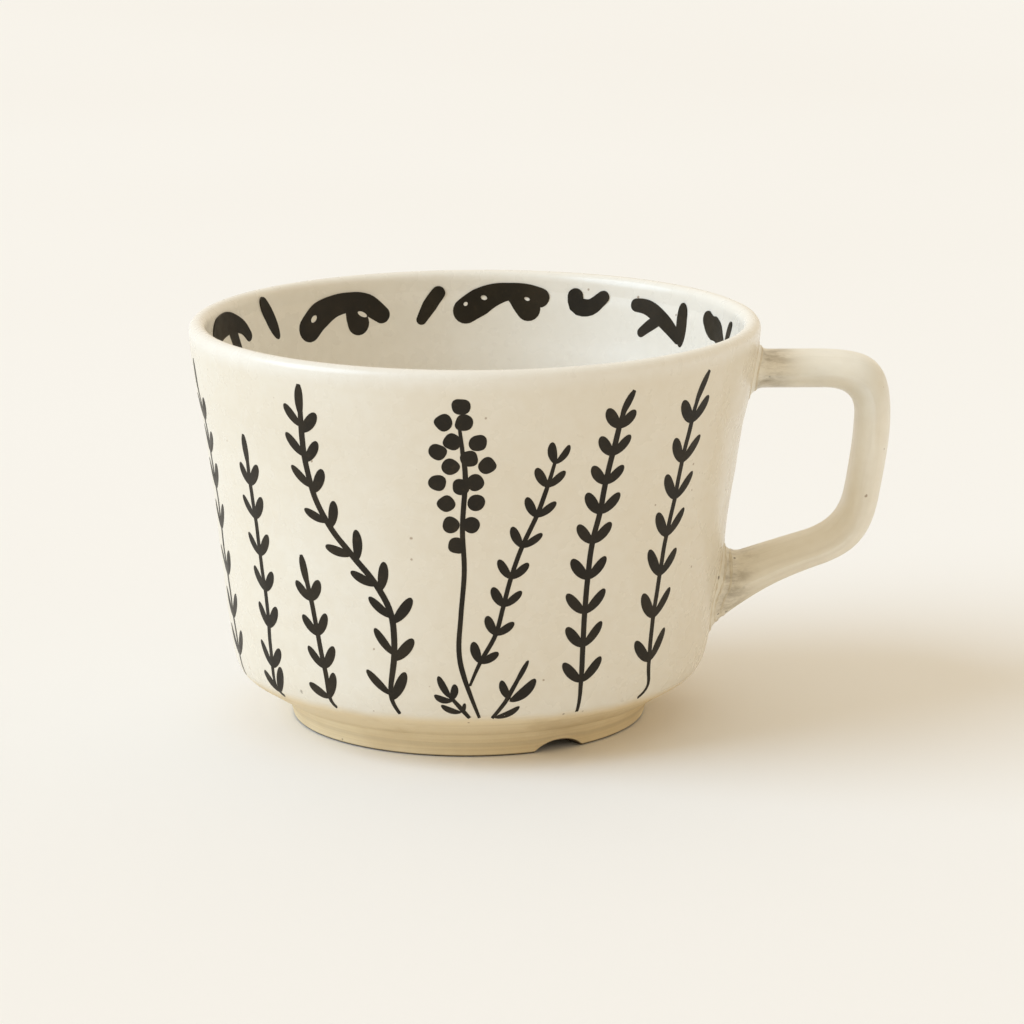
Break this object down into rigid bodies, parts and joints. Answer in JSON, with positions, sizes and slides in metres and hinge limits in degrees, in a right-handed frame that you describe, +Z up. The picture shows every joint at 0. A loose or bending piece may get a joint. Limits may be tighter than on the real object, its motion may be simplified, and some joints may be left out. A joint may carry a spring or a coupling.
{
  "type": "stoneware mug",
  "caption": "Low wide stoneware mug with a turned foot ring and an angular strap handle, for hot drinks.",
  "frame": {"origin": "on the standing surface, below the middle of the mug's overall length", "axes": "+Z up out of the mouth, +X from the cup towards the handle"},
  "size_m": [0.1291, 0.105, 0.0745],
  "materials": {
    "cream_glaze": "satin glaze over speckled stoneware",
    "bare_clay": "thin dry glaze over turned clay",
    "luting_slip": "rough slip under glaze",
    "underglaze_black": "brushed dark underglaze, satin"
  },
  "bodies": {
    "root": {"cup_body": "cream_glaze", "foot_ring": "bare_clay", "handle": "cream_glaze", "upper_slip_joint": "luting_slip", "lower_slip_joint": "luting_slip"}
  },
  "joints": []
}
